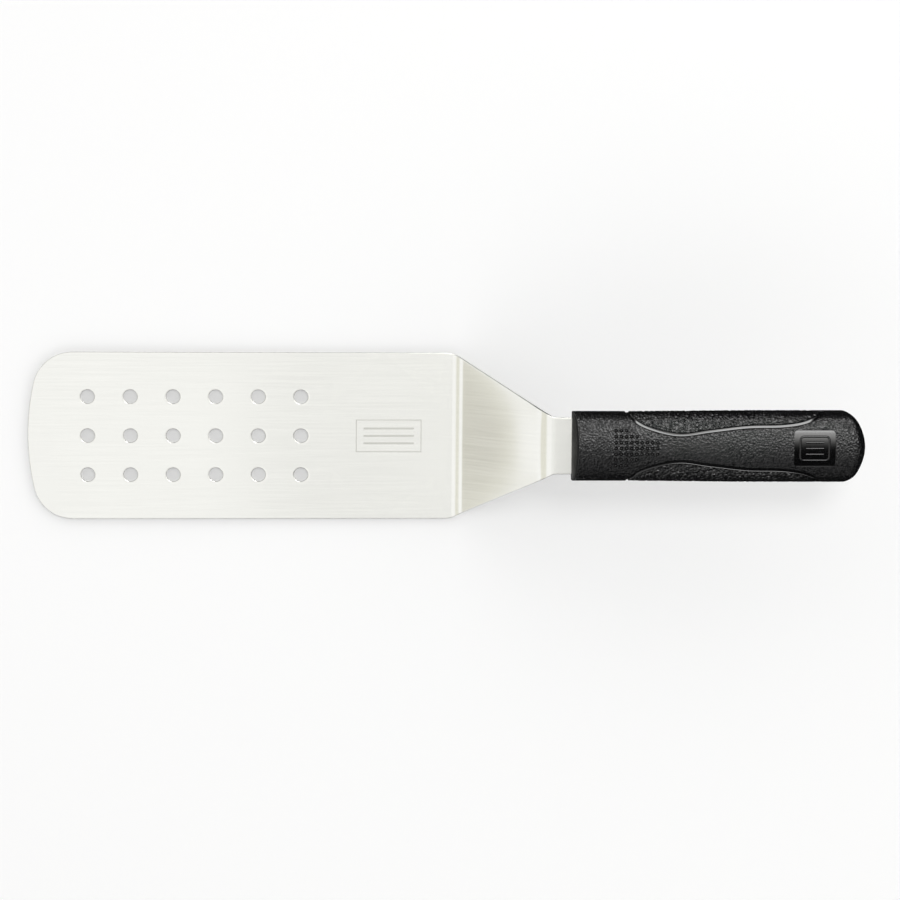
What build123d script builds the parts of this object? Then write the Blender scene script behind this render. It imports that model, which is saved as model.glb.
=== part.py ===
from build123d import *
from math import cos, hypot, radians, sin, sqrt
import os

# Grill spatula: a perforated stainless blade with a cranked neck, whose hidden tang is
# moulded into a hard polymer handle with a softer grip panel let into each side.
# X runs from the tip of the blade to the butt of the handle, Y across and Z up. The
# underside of the blade lies on z = 0 and x = 0 is the middle of the whole length.
# Every size is in millimetres.

# Whole spatula
overall_length = 375.2
handle_length = 131.3

# Blade, one stamping of stainless sheet
sheet = 1.5
blade_width = 76.2
blade_flat = 195.7  # from the tip to the lower bend
tip_radius = 108.0
corner_radius = 18.0
shoulder_radius = 14.0
crank_run = 36.6
crank_rise = 36.0
taper_lead = 2.8  # the taper starts this far short of the lower bend
bend_radius = 9.0  # measured on the underside of the sheet
neck_width = 25.5
neck_lead = 3.6  # the taper ends this far beyond the upper bend
neck_radius = 4.0

# Drain holes
hole_diameter = 6.4
hole_pitch_x = 19.33
hole_pitch_y = 17.84
hole_columns = 6
hole_rows = 3
first_hole = 27.0  # from the tip to the first column
hole_deburr = 0.2

# Tang, the end of the same stamping inside the handle
tang_shoulder = 6.0  # the neck keeps its width this far into the handle
tang_width = 17.0
tang_length = 112.0
tang_end_radius = 6.0
lock_hole_diameter = 6.0
lock_hole_places = (30.0, 55.0, 80.0)

# Handle section
front_width = 31.1
rear_width = 32.1
front_height = 19.0
rear_height = 20.0
widening_start = 25.0
widening_end = 81.0
crown = 3.0  # rise of the top and bottom faces over the section's corners
side_bulge = 1.2
edge_radius = 5.2

# Handle ends
nose_recess = 2.1  # how far the front face falls back at the top of the handle
nose_edge = 0.5
butt_radius = 20.6
butt_edge = 5.0

# Grip panels, as distances from the front of the handle and from its middle line
panel_edge = (
    (24.6, 16.4),
    (31.0, 10.9),
    (46.3, 6.9),
    (61.0, 8.5),
    (78.0, 10.4),
    (93.0, 10.75),
    (104.0, 12.4),
    (112.2, 16.4),
)
rear_tip_height = 3.8  # the rear tip of a panel lies this far above the parting line
rear_slant = 50.0  # angle of the panel's lower rear edge to the parting plane
groove_width = 1.6
groove_depth = 0.6
panel_depth = 2.2
lug_diameter = 6.0
lug_length = 2.5
lug_places = (43.0, 68.0, 93.0)

# Finger points on the top and bottom of the handle
point_diameter = 1.4
point_height = 0.35
first_point = 19.0
point_pitch_x = 2.32
point_pitch_y = 2.6
points_in_row = (3, 5, 9, 9, 9, 5, 3)

# Smooth recess near the butt
recess_length = 18.7
recess_width = 16.4
recess_radius = 1.6
recess_depth = 0.5
recess_place = 108.0  # from the front of the handle to the middle of the recess

tip_x = -overall_length / 2
butt_x = overall_length / 2
handle_x = butt_x - handle_length
lower_bend_x = tip_x + blade_flat
upper_bend_x = lower_bend_x + crank_run
tang_end_x = handle_x + tang_length
sheet_middle = crank_rise + sheet / 2
handle_axis = Pos(handle_x, 0, sheet_middle)
past = 2.0  # cutters run this far past what they cut
curve_steps = 10  # spans of the curve that runs beside a grip panel


def corners_at(face, x, y):
    """The corners of an outline at x, on both sides of the middle line."""
    return [v for v in face.vertices() if hypot(v.X - x, abs(v.Y) - y) < 0.01]


def blade_outline():
    """The stamping's outline as seen from above."""
    half_blade = blade_width / 2
    half_neck = neck_width / 2
    half_tang = tang_width / 2
    side_x = tip_x + tip_radius - sqrt(tip_radius**2 - half_blade**2)
    taper_x = lower_bend_x - taper_lead
    neck_x = upper_bend_x + neck_lead
    shoulder_x = handle_x + tang_shoulder
    side = [
        (side_x, half_blade),
        (taper_x, half_blade),
        (neck_x, half_neck),
        (shoulder_x, half_neck),
        (shoulder_x, half_tang),
        (tang_end_x, half_tang),
    ]
    other_side = [(x, -y) for x, y in reversed(side)]
    lines = Polyline(*side, *other_side)
    tip = ThreePointArc((side_x, -half_blade), (tip_x, 0), (side_x, half_blade))
    face = make_face(lines.edges() + tip.edges())
    face = fillet(corners_at(face, side_x, half_blade), corner_radius)
    face = fillet(corners_at(face, taper_x, half_blade), shoulder_radius)
    face = fillet(corners_at(face, neck_x, half_neck), neck_radius)
    return fillet(corners_at(face, tang_end_x, half_tang), tang_end_radius)


def bent_sheet():
    """A wide strip of sheet, bent to the stamping's side view."""
    underside = FilletPolyline(
        (tip_x - past, 0),
        (lower_bend_x, 0),
        (upper_bend_x, crank_rise),
        (tang_end_x + past, crank_rise),
        radius=bend_radius,
    )
    section = make_face(offset(underside, sheet, side=Side.LEFT))
    return extrude(Plane.XZ * section, blade_width / 2 + past, both=True)


def is_drain_rim(edge):
    """Whether an edge is the rim of a drain hole."""
    if edge.geom_type != GeomType.CIRCLE or edge.center().X > lower_bend_x:
        return False
    return abs(edge.radius - hole_diameter / 2) < 0.01


def make_blade():
    """The blade, crank, neck and tang, one piece of bent sheet."""
    blade = bent_sheet() & extrude(blade_outline(), sheet_middle + sheet)
    grid_x = tip_x + first_hole + hole_pitch_x * (hole_columns - 1) / 2
    grid = Pos(grid_x, 0) * GridLocations(hole_pitch_x, hole_pitch_y, hole_columns, hole_rows)
    blade -= [place * Cylinder(hole_diameter / 2, 4 * sheet) for place in grid]
    rims = blade.edges().filter_by(is_drain_rim)
    blade = chamfer(rims, hole_deburr)
    blade -= [handle_axis * Pos(x) * Cylinder(lock_hole_diameter / 2, 4 * sheet) for x in lock_hole_places]
    return blade


def size_at(x, front, rear):
    """A width or height of the handle at x from its front."""
    share = (x - widening_start) / (widening_end - widening_start)
    return front + (rear - front) * min(max(share, 0), 1)


def handle_section(x, inset):
    """The handle's cross-section at x from its front, drawn in by inset all round."""
    half_width = size_at(x, front_width, rear_width) / 2 - inset
    half_height = size_at(x, front_height, rear_height) / 2 - inset
    side = half_width - side_bulge
    shoulder = half_height - crown
    top = ThreePointArc((-side, shoulder), (0, half_height), (side, shoulder))
    right = ThreePointArc((side, shoulder), (half_width, 0), (side, -shoulder))
    bottom = ThreePointArc((side, -shoulder), (0, -half_height), (-side, -shoulder))
    left = ThreePointArc((-side, -shoulder), (-half_width, 0), (-side, shoulder))
    face = make_face(top.edges() + right.edges() + bottom.edges() + left.edges())
    face = fillet(face.vertices(), edge_radius - inset)
    return handle_axis * (Plane.YZ.offset(x) * face)


def handle_prism(inset=0.0):
    """The handle's section carried over its length, square at both ends."""
    stations = (0, widening_start, widening_end, handle_length)
    return loft([handle_section(x, inset) for x in stations], ruled=True)


def sagitta(radius, half_chord):
    """How far an arc stands out over its chord."""
    return radius - sqrt(radius**2 - half_chord**2)


def round_ended(flat_x, round_x, radius, half):
    """A long outline that is square at flat_x and ends in an arc at round_x."""
    turn = 1 if round_x > flat_x else -1
    side_x = round_x - turn * sagitta(radius, half)
    sides = Polyline((side_x, half), (flat_x, half), (flat_x, -half), (side_x, -half))
    end = ThreePointArc((side_x, -half), (round_x, 0), (side_x, half))
    return make_face(sides.edges() + end.edges())


def make_envelope(prism):
    """The whole outside of the handle, before its grooves, panels and recess."""
    plan = round_ended(-past, handle_length, butt_radius, rear_width / 2 + past)
    body = prism & (handle_axis * extrude(plan, rear_height, both=True))
    butt = body.faces().filter_by(GeomType.CYLINDER).sort_by(Axis.X)[-1]
    body = fillet(butt.edges(), butt_edge)
    half_height = front_height / 2
    nose_radius = (half_height**2 + nose_recess**2) / (2 * nose_recess)
    side_view = round_ended(handle_length + past, 0, nose_radius, half_height + past)
    body &= handle_axis * extrude(Plane.XZ * side_view, rear_width, both=True)
    nose = body.faces().filter_by(GeomType.CYLINDER).sort_by(Axis.X)[0]
    return fillet(nose.edges(), nose_edge)


def panel_curve(grow):
    """The plan curve between a grip panel and the core, moved inwards by grow."""
    curve = Spline(*panel_edge)
    if grow == 0:
        return curve
    points = []
    for step in range(curve_steps + 1):
        place = curve @ (step / curve_steps)
        heading = curve % (step / curve_steps)
        points.append((place.X + heading.Y * grow, place.Y - heading.X * grow))
    return Spline(*points)


def panel_space(grow):
    """The space that the left grip panel takes up, grown by grow along its edges."""
    far = rear_width
    curve = panel_curve(grow)
    first, last = curve @ 0, curve @ 1
    outer = Polyline(last, (last.X, far), (first.X, far), first)
    space = extrude(make_face(curve.edges() + outer.edges()), rear_height, both=True)
    slant = radians(rear_slant)
    outward = Vector(sin(slant), 0, -cos(slant))
    rear_tip = Vector(panel_edge[-1][0], 0, rear_tip_height)
    space = split(space, Plane(rear_tip + outward * grow, z_dir=outward), keep=Keep.BOTTOM)
    return handle_axis * space


def make_panel(prism, pocket_floor):
    """The left grip panel, a soft skin held in its pocket by lugs."""
    panel = (panel_space(0) & prism) - pocket_floor
    lug_tip = front_width / 2 - panel_depth - lug_length
    lug_middle = lug_tip + (lug_length + panel_depth / 2) / 2
    lug = Cylinder(lug_diameter / 2, lug_length + panel_depth / 2, rotation=(90, 0, 0))
    for place in lug_places:
        panel += handle_axis * Pos(place, lug_middle) * lug
    return panel


def finger_points():
    """The small domes on top of the handle under the thumb and finger."""
    dome_radius = ((point_diameter / 2) ** 2 + point_height**2) / (2 * point_height)
    half_chord = front_width / 2 - side_bulge
    crown_radius = (half_chord**2 + crown**2) / (2 * crown)
    points = []
    for row, count in enumerate(points_in_row):
        y = point_pitch_y * ((len(points_in_row) - 1) / 2 - row)
        for column in range(count):
            x = first_point + point_pitch_x * column
            surface = size_at(x, front_height, rear_height) / 2 - sagitta(crown_radius, y)
            centre = Pos(x, y, surface + point_height - dome_radius)
            points.append(handle_axis * centre * Sphere(dome_radius))
    return points


def make_core(envelope, panels, blade):
    """The hard core of the handle, moulded round the tang and through its holes."""
    groove_floor = handle_prism(groove_depth)
    groove = panel_space(groove_width) - groove_floor
    outline = RectangleRounded(recess_length, recess_width, recess_radius)
    recess = handle_axis * Pos(recess_place) * extrude(outline, rear_height)
    recess -= handle_prism(recess_depth)
    core = envelope - groove - mirror(groove, Plane.XZ) - recess
    points = finger_points()
    core += points
    core += [mirror(point, Plane.XY.offset(sheet_middle)) for point in points]
    return core - panels - blade


def main():
    """Makes the pieces and writes each to its own file."""
    blade = make_blade()
    prism = handle_prism()
    left_grip = make_panel(prism, handle_prism(panel_depth))
    right_grip = mirror(left_grip, Plane.XZ)
    handle_core = make_core(make_envelope(prism), [left_grip, right_grip], blade)
    os.makedirs("parts", exist_ok=True)
    export_step(blade, "parts/blade.step")
    export_step(handle_core, "parts/handle_core.step")
    export_step(left_grip, "parts/left_grip.step")
    export_step(right_grip, "parts/right_grip.step")


if __name__ == "__main__":
    main()
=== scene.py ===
"""Grill spatula: the finished surfaces of its blade, handle core and grip panels, in metres."""
import logging
from dataclasses import dataclass, field
from enum import Enum
from math import asin, atan2, cos, hypot, pi, radians, sin, sqrt, tan
from typing import Any, Callable, Iterable, Sequence

import bmesh
import bpy
from bmesh.types import BMEdge, BMesh, BMVert
from bpy.types import Material, NodeSocket, Object, ShaderNodeTree
from mathutils import Matrix, Vector, noise


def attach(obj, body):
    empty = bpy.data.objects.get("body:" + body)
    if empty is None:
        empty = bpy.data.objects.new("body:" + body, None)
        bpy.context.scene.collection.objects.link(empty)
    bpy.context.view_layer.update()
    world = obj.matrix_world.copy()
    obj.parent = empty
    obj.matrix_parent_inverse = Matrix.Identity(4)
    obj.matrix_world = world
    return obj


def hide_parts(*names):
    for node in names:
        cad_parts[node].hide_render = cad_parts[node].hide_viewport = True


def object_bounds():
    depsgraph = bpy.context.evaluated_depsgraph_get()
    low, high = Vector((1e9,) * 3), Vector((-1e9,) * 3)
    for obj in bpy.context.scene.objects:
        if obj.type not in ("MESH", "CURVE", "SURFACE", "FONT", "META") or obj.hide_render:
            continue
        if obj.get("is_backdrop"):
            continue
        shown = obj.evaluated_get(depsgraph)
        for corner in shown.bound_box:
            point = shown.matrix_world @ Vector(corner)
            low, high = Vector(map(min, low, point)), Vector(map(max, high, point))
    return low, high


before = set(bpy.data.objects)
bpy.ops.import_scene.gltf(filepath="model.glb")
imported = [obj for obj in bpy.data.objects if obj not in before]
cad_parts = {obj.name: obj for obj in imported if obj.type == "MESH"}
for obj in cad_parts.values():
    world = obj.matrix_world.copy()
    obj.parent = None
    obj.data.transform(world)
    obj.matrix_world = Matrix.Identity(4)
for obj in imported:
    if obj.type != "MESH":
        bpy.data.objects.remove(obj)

MM = 0.001
BODY = "root"
Y_AXIS, Z_AXIS = Vector((0, 1, 0)), Vector((0, 0, 1))
LOG = logging.getLogger("grill_spatula")


def measured_box() -> list[list[float]]:
    """The lowest and highest corner of everything that is shown, as plain lists."""
    return [list(corner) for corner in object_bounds()]


# --- Mesh helpers ----------------------------------------------------------


def verts_of(geom: Iterable[Any]) -> list[BMVert]:
    """The vertices among some mesh elements."""
    return [part for part in geom if isinstance(part, BMVert)]


def edges_of(geom: Iterable[Any]) -> list[BMEdge]:
    """The edges among some mesh elements."""
    return [part for part in geom if isinstance(part, BMEdge)]


def run_straight(bm: BMesh, geom: list[Any], travel: Vector, steps: int) -> list[Any]:
    """Carries points or edges along a straight line.

    Args:
        bm: The mesh being built.
        geom: The vertices and edges to carry.
        travel: How far they go in all.
        steps: How many steps there are.

    Returns:
        The elements at the far end.
    """
    run = bmesh.ops.spin(bm, geom=geom, axis=Z_AXIS, dvec=travel / steps, angle=0.0, steps=steps)
    return run["geom_last"]


def run_round(bm: BMesh, geom: list[Any], centre: Vector, axis: Vector, angle: float,
              steps: int) -> list[Any]:
    """Carries points or edges along an arc.

    Args:
        bm: The mesh being built.
        geom: The vertices and edges to carry.
        centre: A point on the axis of the arc.
        axis: The direction of that axis.
        angle: The whole turn in radians.
        steps: How many steps there are.

    Returns:
        The elements at the far end.
    """
    run = bmesh.ops.spin(bm, geom=geom, cent=centre, axis=axis, angle=angle, steps=steps)
    return run["geom_last"]


def finished_object(name: str, bm: BMesh, *materials: Material) -> Object:
    """Turns a finished mesh into an object.

    Args:
        name: The name of the object.
        bm: Its mesh, which is freed.
        materials: Its materials, by face index.

    Returns:
        The new object.
    """
    mesh = bpy.data.meshes.new(name)
    bm.to_mesh(mesh)
    bm.free()
    mesh.shade_smooth()
    for material in materials:
        mesh.materials.append(material)
    piece = bpy.data.objects.new(name, mesh)
    bpy.context.scene.collection.objects.link(piece)
    return piece


def declare(piece: Object, node: str) -> None:
    """Puts a finished piece in the place of its CAD node.

    Args:
        piece: The finished piece.
        node: The CAD node that it stands for.
    """
    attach(piece, BODY)
    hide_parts(node)


# --- Finishes --------------------------------------------------------------


class NodeTree:
    """A short way to write a shader tree."""

    def __init__(self, tree: bpy.types.NodeTree) -> None:
        """Starts from an empty tree."""
        self.tree = tree
        tree.nodes.clear()

    def add(self, kind: str, inputs: dict[Any, Any] | None = None, **settings: Any) -> bpy.types.Node:
        """Adds a node.

        Args:
            kind: The node's type without its ShaderNode prefix, or in full.
            inputs: Values or sockets for its inputs, by name or number.
            settings: The node's own properties.

        Returns:
            The new node.
        """
        full = kind if kind.startswith("Node") else "ShaderNode" + kind
        node = self.tree.nodes.new(full)
        for key, value in settings.items():
            setattr(node, key, value)
        for key, value in (inputs or {}).items():
            if isinstance(value, NodeSocket):
                self.tree.links.new(value, node.inputs[key])
            else:
                node.inputs[key].default_value = value
        return node

    def math(self, operation: str, first: Any, second: Any) -> Any:
        """A Math node's result."""
        return self.add("Math", {0: first, 1: second}, operation=operation).outputs[0]

    def ramp(self, value: Any, low: float, high: float, out_low: float = 0.0, out_high: float = 1.0) -> Any:
        """A value carried smoothly from one range to another."""
        inputs = {"Value": value, "From Min": low, "From Max": high, "To Min": out_low, "To Max": out_high}
        return self.add("MapRange", inputs, interpolation_type="SMOOTHSTEP").outputs["Result"]

    def inside(self, place: Any, low: Sequence[float], high: Sequence[float], soft: float) -> Any:
        """A mask that is one inside a box and fades over its faces.

        Args:
            place: The socket that gives the place.
            low: The box's lowest corner.
            high: The box's highest corner.
            soft: How wide the fade is.

        Returns:
            The mask's socket.
        """
        parts = self.add("SeparateXYZ", {0: place})
        mask = 1.0
        for axis, near, far in zip("XYZ", low, high):
            value = parts.outputs[axis]
            mask = self.math("MULTIPLY", mask, self.ramp(value, near - soft / 2, near + soft / 2))
            mask = self.math("MULTIPLY", mask, self.ramp(value, far - soft / 2, far + soft / 2, 1.0, 0.0))
        return mask

    def blend(self, factor: Any, first: Any, second: Any) -> Any:
        """A colour between two colours."""
        node = self.add("Mix", data_type="RGBA")
        for socket, value in (("Factor_Float", factor), ("A_Color", first), ("B_Color", second)):
            target = next(s for s in node.inputs if s.identifier == socket)
            if isinstance(value, NodeSocket):
                self.tree.links.new(value, target)
            else:
                target.default_value = value
        return next(s for s in node.outputs if s.identifier == "Result_Color")


def new_material(name: str) -> tuple[Material, NodeTree]:
    """Starts a material from an empty tree."""
    material = bpy.data.materials.new(name)
    material.use_nodes = True
    return material, NodeTree(material.node_tree)


def new_texture(name: str, *numbers: str) -> tuple[ShaderNodeTree, NodeTree, Any]:
    """Starts a node group that gives a finish its tone, roughness and normal.

    Args:
        name: The group's name.
        numbers: Its number inputs; it also has a Vector.

    Returns:
        The group, its tree and the outputs of its input node.
    """
    group = bpy.data.node_groups.new(name, "ShaderNodeTree")
    group.interface.new_socket("Vector", in_out="INPUT", socket_type="NodeSocketVector")
    for label in numbers:
        group.interface.new_socket(label, in_out="INPUT", socket_type="NodeSocketFloat")
    for label, kind in (("Tone", "Float"), ("Roughness", "Float"), ("Normal", "Vector")):
        group.interface.new_socket(label, in_out="OUTPUT", socket_type="NodeSocket" + kind)
    tree = NodeTree(group)
    return group, tree, tree.add("NodeGroupInput").outputs


def moulded_grain_and_painted_glints() -> ShaderNodeTree:
    """The etched texture of a mould, used by every plastic and rubber finish; its tone paints glints as
    lighter specks.
    """
    group, tree, given = new_texture("moulded_grain_and_painted_glints", "Grain", "Height", "Wear")
    pits = tree.add("TexVoronoi", {"Vector": given["Vector"], "Scale": given["Grain"]})
    cloud = tree.add("TexNoise", {"Vector": given["Vector"], "Scale": given["Grain"], "Detail": 2.0})
    height = tree.math("ADD", pits.outputs["Distance"], tree.math("MULTIPLY", cloud.outputs["Fac"], 0.8))
    bump = tree.add("Bump", {"Height": height, "Distance": given["Height"]})
    slow = tree.add("TexNoise", {"Vector": given["Vector"], "Scale": 90.0, "Detail": 3.0})
    worn = tree.math("MULTIPLY", tree.ramp(slow.outputs["Fac"], 0.4, 0.65), given["Wear"])
    rough = tree.math("SUBTRACT", 1.0, worn)
    # Painted glints: the tone lifts the base colour in specks that stand in for the stipple's sparkle.
    tone = tree.ramp(cloud.outputs["Fac"], 0.5, 0.72)
    tree.add("NodeGroupOutput", {"Tone": tone, "Roughness": rough, "Normal": bump.outputs["Normal"]})
    return group


def brushed_texture() -> ShaderNodeTree:
    """The lengthwise lines that a finishing belt leaves on sheet steel."""
    group, tree, given = new_texture("brushed_texture", "Across", "Along", "Height")
    scale = tree.add("CombineXYZ", {"X": given["Along"], "Y": given["Across"], "Z": given["Along"]})
    drawn = tree.add("VectorMath", {0: given["Vector"], 1: scale.outputs[0]}, operation="MULTIPLY")
    lines = tree.add("TexNoise", {"Vector": drawn.outputs[0], "Scale": 1.0, "Detail": 3.0, "Roughness": 0.6})
    patch = tree.add("TexNoise", {"Vector": given["Vector"], "Scale": 22.0, "Detail": 2.0})
    fine, broad = lines.outputs["Fac"], patch.outputs["Fac"]
    tone = tree.math("ADD", tree.math("MULTIPLY", fine, 0.7), tree.math("MULTIPLY", broad, 0.3))
    bump = tree.add("Bump", {"Height": fine, "Distance": given["Height"]})
    tree.add("NodeGroupOutput", {"Tone": tone, "Roughness": fine, "Normal": bump.outputs["Normal"]})
    return group


@dataclass(frozen=True)
class Etching:
    """A plain frame with three bars, etched faintly into the top of the blade."""

    middle: tuple = (-24.0 * MM, 0.0)
    half_size: tuple = (15.0 * MM, 7.5 * MM)
    line: float = 0.45 * MM
    bars: int = 3
    bar_gap: float = 3.4 * MM
    bar_half: float = 11.5 * MM
    soft: float = 0.2 * MM
    lowest: float = 0.75 * MM
    highest: float = 2.25 * MM
    colour: tuple = (0.56, 0.56, 0.52, 1.0)
    dulling: float = 0.15

    def mask(self, tree: NodeTree, place: Any) -> Any:
        """Where the steel is etched.

        Args:
            tree: The material's tree.
            place: The socket that gives the place.

        Returns:
            The mask's socket.
        """
        outer = self.area(tree, place, *self.half_size)
        inner = self.area(tree, place, *(half - self.line for half in self.half_size))
        mask = tree.math("SUBTRACT", outer, inner)
        for bar in range(self.bars):
            offset = (bar - (self.bars - 1) / 2) * self.bar_gap
            mask = tree.math("ADD", mask, self.area(tree, place, self.bar_half, self.line, offset))
        return mask

    def area(self, tree: NodeTree, place: Any, half_x: float, half_y: float, offset: float = 0.0) -> Any:
        """A rectangle of the etching."""
        x, y = self.middle
        low = (x - half_x, y + offset - half_y, self.lowest)
        high = (x + half_x, y + offset + half_y, self.highest)
        return tree.inside(place, low, high, self.soft)


@dataclass(frozen=True)
class BrushedSteel:
    """Bright stainless sheet, brushed along its length."""

    texture: Any
    name: str = "brushed_stainless"
    light: tuple = (0.92, 0.92, 0.88, 1.0)
    dark: tuple = (0.885, 0.885, 0.845, 1.0)
    roughness: tuple = (0.16, 0.21)
    tone_range: tuple = (0.35, 0.65)
    line_range: tuple = (0.3, 0.7)
    anisotropy: float = 0.7
    across: float = 1300.0
    along: float = 22.0
    height: float = 0.0001 * MM
    etching: Etching | None = None

    def material(self) -> Material:
        """Builds the material.

        Returns:
            The finished material.
        """
        material, tree = new_material(self.name)
        place = tree.add("TexCoord").outputs["Object"]
        shape = {"Vector": place, "Across": self.across, "Along": self.along, "Height": self.height}
        lines = tree.add("Group", shape, node_tree=self.texture)
        colour = tree.blend(tree.ramp(lines.outputs["Tone"], *self.tone_range), self.dark, self.light)
        rough = tree.ramp(lines.outputs["Roughness"], *self.line_range, *self.roughness)
        if self.etching:
            mask = self.etching.mask(tree, place)
            colour = tree.blend(mask, colour, self.etching.colour)
            rough = tree.math("ADD", rough, tree.math("MULTIPLY", mask, self.etching.dulling))
        tangent = tree.add("Tangent", direction_type="UV_MAP", uv_map="brushing")
        steel = tree.add("BsdfPrincipled", {
            "Base Color": colour, "Metallic": 1.0, "Roughness": rough,
            "Anisotropic": self.anisotropy, "Anisotropic Rotation": 0.25,
            "Normal": lines.outputs["Normal"], "Tangent": tangent.outputs["Tangent"],
        })
        tree.add("OutputMaterial", {"Surface": steel.outputs["BSDF"]})
        return material


@dataclass(frozen=True)
class Moulded:
    """A black moulded plastic or rubber, whose light colour paints the glints of its stipple."""

    texture: Any
    name: str
    # The light colour is painted glint; the dark colour is the plastic's own.
    light: tuple = (0.007, 0.007, 0.0075, 1.0)
    dark: tuple = (0.0015, 0.0015, 0.0018, 1.0)
    roughness: float = 0.19
    specular: float = 0.5
    grain: float = 1150.0
    height: float = 0.2 * MM
    wear: float = 0.25

    def material(self) -> Material:
        """Builds the material.

        Returns:
            The finished material.
        """
        material, tree = new_material(self.name)
        place = tree.add("TexCoord").outputs["Object"]
        shape = {"Vector": place, "Grain": self.grain, "Height": self.height, "Wear": self.wear}
        skin = tree.add("Group", shape, node_tree=self.texture)
        # Painted glints: the base colour rises towards the light colour in the texture's specks.
        colour = tree.blend(skin.outputs["Tone"], self.dark, self.light)
        rough = tree.math("MULTIPLY", skin.outputs["Roughness"], self.roughness)
        plastic = tree.add("BsdfPrincipled", {
            "Base Color": colour, "Roughness": rough, "Specular IOR Level": self.specular,
            "Normal": skin.outputs["Normal"],
        })
        tree.add("OutputMaterial", {"Surface": plastic.outputs["BSDF"]})
        return material


# --- Blade -----------------------------------------------------------------


@dataclass
class Blade:
    """The stainless stamping: perforated blade, crank, neck and hidden tang."""

    steel: Material
    sheared: Material
    tip_x: float
    handle_x: float
    sheet: float = 1.5 * MM
    half_width: float = 38.1 * MM
    flat_length: float = 195.7 * MM
    tip_radius: float = 108.0 * MM
    corner_radius: float = 18.0 * MM
    shoulder_radius: float = 14.0 * MM
    crank_run: float = 36.6 * MM
    crank_rise: float = 36.0 * MM
    taper_lead: float = 2.8 * MM
    bend_radius: float = 9.0 * MM
    half_neck: float = 12.75 * MM
    neck_lead: float = 3.6 * MM
    neck_radius: float = 4.0 * MM
    tang_shoulder: float = 6.0 * MM
    tang_half: float = 8.5 * MM
    tang_length: float = 112.0 * MM
    tang_end_radius: float = 6.0 * MM
    lock_hole_radius: float = 3.0 * MM
    lock_hole_places: tuple = (30.0 * MM, 55.0 * MM, 80.0 * MM)
    hole_radius: float = 3.2 * MM
    hole_pitch_x: float = 19.33 * MM
    hole_pitch_y: float = 17.84 * MM
    hole_columns: int = 6
    hole_rows: int = 3
    first_hole: float = 27.0 * MM
    rim: float = 0.22 * MM
    crank_dome: float = 0.6 * MM
    dome_lean: float = 1.6
    columns: int = 24
    tang_columns: int = 16
    shoulder_steps: int = 3
    bend_steps: int = 14
    crank_steps: int = 40
    neck_steps: int = 10
    side_steps: int = 24
    corner_steps: int = 24
    tip_steps: int = 32
    hole_steps: int = 48
    tang_steps: int = 20
    tang_corner_steps: int = 10
    rim_steps: int = 3
    rim_angle: float = 50.0
    collar: float = 1.0 * MM
    weld: float = 0.002 * MM

    def __post_init__(self) -> None:
        """Works out where the bends and the taper lie."""
        self.slope = atan2(self.crank_rise, self.crank_run)
        tangent = self.bend_radius * tan(self.slope / 2)
        self.lower_bend_x = self.tip_x + self.flat_length
        self.upper_bend_x = self.lower_bend_x + self.crank_run
        self.bend_start = self.lower_bend_x - tangent
        self.bend_end = self.upper_bend_x + tangent
        self.slope_length = hypot(self.crank_run, self.crank_rise) - 2 * tangent
        self.taper_start = Vector((self.lower_bend_x - self.taper_lead, self.half_width))
        self.taper_end = Vector((self.upper_bend_x + self.neck_lead, self.half_neck))
        taper = self.taper_end - self.taper_start
        self.taper_angle = atan2(-taper.y, taper.x)
        self.shoulder_x = self.taper_start.x - self.shoulder_radius * tan(self.taper_angle / 2)
        self.neck_x = self.taper_end.x + self.neck_radius * tan(self.taper_angle / 2)
        self.tang_x = self.handle_x + self.tang_shoulder
        self.tang_end = self.handle_x + self.tang_length

    def half_width_at(self, x: float) -> float:
        """Half the stamping's width at x, between the blade and the neck.

        Args:
            x: The distance along the spatula.

        Returns:
            Half the width there.
        """
        if x <= self.shoulder_x:
            return self.half_width
        if x >= self.neck_x:
            return self.half_neck
        line = self.taper_start.y - (x - self.taper_start.x) * tan(self.taper_angle)
        run = x - self.shoulder_x
        if run < self.shoulder_radius * sin(self.taper_angle):
            return self.half_width - self.shoulder_radius + sqrt(self.shoulder_radius**2 - run**2)
        run = self.neck_x - x
        if run < self.neck_radius * sin(self.taper_angle):
            return self.half_neck + self.neck_radius - sqrt(self.neck_radius**2 - run**2)
        return line

    def strip(self, bm: BMesh) -> None:
        """Bends a strip from the end of the flat blade up the crank to the tang.

        Args:
            bm: The mesh being built.
        """
        corner = bmesh.ops.create_vert(bm, co=(self.shoulder_x, -self.half_width, 0))["vert"]
        run_straight(bm, corner, Vector((0, 2 * self.half_width, 0)), self.columns)
        row = bm.verts[:] + bm.edges[:]
        row = run_straight(bm, row, Vector((self.bend_start - self.shoulder_x, 0, 0)), self.shoulder_steps)
        lower = Vector((self.bend_start, 0, self.bend_radius))
        row = run_round(bm, row, lower, -Y_AXIS, self.slope, self.bend_steps)
        up = Vector((cos(self.slope), 0, sin(self.slope))) * self.slope_length
        row = run_straight(bm, row, up, self.crank_steps)
        upper = Vector((self.bend_end, 0, self.crank_rise - self.bend_radius))
        row = run_round(bm, row, upper, Y_AXIS, self.slope, self.bend_steps)
        run_straight(bm, row, Vector((self.tang_x - self.bend_end, 0, 0)), self.neck_steps)
        for vert in bm.verts:
            along = (vert.co.x - self.lower_bend_x) / self.crank_run
            across = vert.co.y / self.half_width
            vert.co.y *= self.half_width_at(vert.co.x) / self.half_width
            if 0 < along < 1:
                lift = self.crank_dome * sin(pi * along**self.dome_lean) * (1 - across**2)
                vert.co += Vector((-sin(self.slope), 0, cos(self.slope))) * lift

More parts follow.
